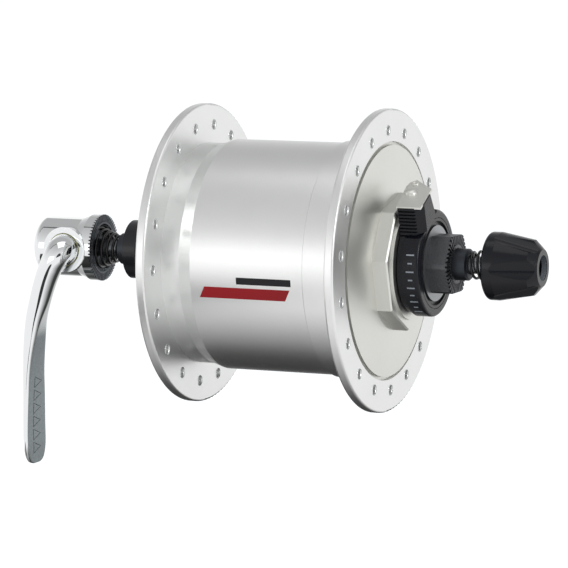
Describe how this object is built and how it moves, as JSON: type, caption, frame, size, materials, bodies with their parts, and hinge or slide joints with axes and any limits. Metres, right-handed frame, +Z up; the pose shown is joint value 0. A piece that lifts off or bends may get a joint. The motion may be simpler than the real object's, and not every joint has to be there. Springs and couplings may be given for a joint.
{
  "type": "bicycle hub dynamo",
  "caption": "Front wheel hub generator: flanged silver shell with spoke holes, round plug connector and a cam lever quick release with conical springs.",
  "frame": {"origin": "on the axle line, midway between the two locknut faces, at the wheel's centre", "axes": "+Y along the axle to the rider's left, the lever side; +X forward; +Z up"},
  "size_m": [0.086, 0.1565, 0.1068],
  "materials": {
    "satin_shell": "satin anodised silver aluminium",
    "satin_cover": "satin silver, slightly warm",
    "axle_steel": "black oxide steel",
    "bearing_steel": "ground bearing steel",
    "dark_nut": "dark grained steel",
    "black_nut": "black steel with a smooth cap",
    "washer_steel": "bright washer",
    "connector_plastic": "near black moulded plastic",
    "knob_plastic": "black moulded plastic, semi gloss",
    "contact_metal": "plated contact",
    "chrome": "mirror chrome plate",
    "rod_steel": "plain steel rod",
    "spring_black": "black coated spring wire",
    "bush_nylon": "yellowish nylon",
    "seal_rubber": "black rubber",
    "core_iron": "bare pole iron",
    "magnet": "dark sintered magnet",
    "bobbin_plastic": "natural nylon",
    "copper": "enamelled copper wire",
    "lead_cover": "red lead cover"
  },
  "bodies": {
    "axle": {"hub_axle": "axle_steel", "stator_core": "core_iron", "lever_side_claw_plate": "core_iron", "wire_side_claw_plate": "core_iron", "coil_bobbin": "bobbin_plastic", "coil_winding": "copper", "lead_wire": "lead_cover", "lever_side_cone": "bearing_steel", "lever_side_spacer": "washer_steel", "lever_side_locknut": "black_nut", "wire_side_cone": "bearing_steel", "connector_body": "connector_plastic", "terminal_contacts": "contact_metal", "wire_side_washer": "washer_steel", "wire_side_locknut": "dark_nut"},
    "shell": {"hub_shell": "satin_shell", "end_cover": "satin_cover", "lever_side_bearing_cup": "bearing_steel", "wire_side_bearing_cup": "bearing_steel", "lever_side_seal": "seal_rubber", "wire_side_seal": "seal_rubber", "yoke_ring": "core_iron", "rotor_magnets": "magnet"},
    "lever_side_bearing": {"lever_side_balls": "bearing_steel", "lever_side_ball_retainer": "bearing_steel"},
    "wire_side_bearing": {"wire_side_balls": "bearing_steel", "wire_side_ball_retainer": "bearing_steel"},
    "lever_side_spring": {"lever_side_spring": "spring_black"},
    "cam_housing": {"cam_housing": "chrome", "cam_bush": "bush_nylon"},
    "cam_lever": {"cam_lever": "chrome"},
    "skewer": {"skewer_rod": "rod_steel"},
    "nut_side_spring": {"nut_side_spring": "spring_black"},
    "knob": {"adjusting_knob": "knob_plastic", "knob_insert": "washer_steel"},
    "connector_cap": {"connector_cap": "connector_plastic"}
  },
  "joints": [
    {"name": "shell_spin", "type": "hinge", "parent": "axle", "child": "shell", "pos_m": [0, 0, 0], "axis": [0, 1, 0], "continuous": true},
    {"name": "lever_side_ball_run", "type": "hinge", "parent": "axle", "child": "lever_side_bearing", "pos_m": [0, 0.033, 0], "axis": [0, 1, 0], "continuous": true},
    {"name": "wire_side_ball_run", "type": "hinge", "parent": "axle", "child": "wire_side_bearing", "pos_m": [0, -0.033, 0], "axis": [0, 1, 0], "continuous": true},
    {"name": "skewer_float", "type": "slide", "parent": "axle", "child": "lever_side_spring", "axis": [0, 1, 0], "range_m": [-0.0055, 0.0055], "stiffness_N_per_m": 600, "deforming": ["lever_side_spring", "nut_side_spring"]},
    {"name": "skewer_turn", "type": "hinge", "parent": "lever_side_spring", "child": "cam_housing", "pos_m": [0, 0.068, 0], "axis": [0, 1, 0], "continuous": true},
    {"name": "lever_flip", "type": "hinge", "parent": "cam_housing", "child": "cam_lever", "pos_m": [0, 0.068, 0], "axis": [1, 0, 0], "range_deg": [0, 180]},
    {"name": "rod_draw", "type": "slide", "parent": "cam_housing", "child": "skewer", "axis": [0, 1, 0], "range_m": [-0.00245, 0.00001], "deforming": ["nut_side_spring"]},
    {"name": "nut_travel", "type": "slide", "parent": "skewer", "child": "nut_side_spring", "axis": [0, 1, 0], "range_m": [-0.0032, 0.0032], "deforming": ["nut_side_spring"]},
    {"name": "knob_turn", "type": "hinge", "parent": "nut_side_spring", "child": "knob", "pos_m": [0, -0.066, 0], "axis": [0, 1, 0], "range_deg": [-1450, 1450]},
    {"name": "cap_pull", "type": "slide", "parent": "axle", "child": "connector_cap", "axis": [-0.454, 0, 0.891], "range_m": [0, 0.009]}
  ],
  "couplings": [
    {"joint": "lever_side_ball_run", "follows": "shell_spin", "ratio": 0.6},
    {"joint": "wire_side_ball_run", "follows": "shell_spin", "ratio": 0.6},
    {"joint": "rod_draw", "follows": "lever_flip", "m_per_rad": -0.00076394},
    {"joint": "knob_turn", "follows": "nut_travel", "rad_per_m": 7854}
  ]
}
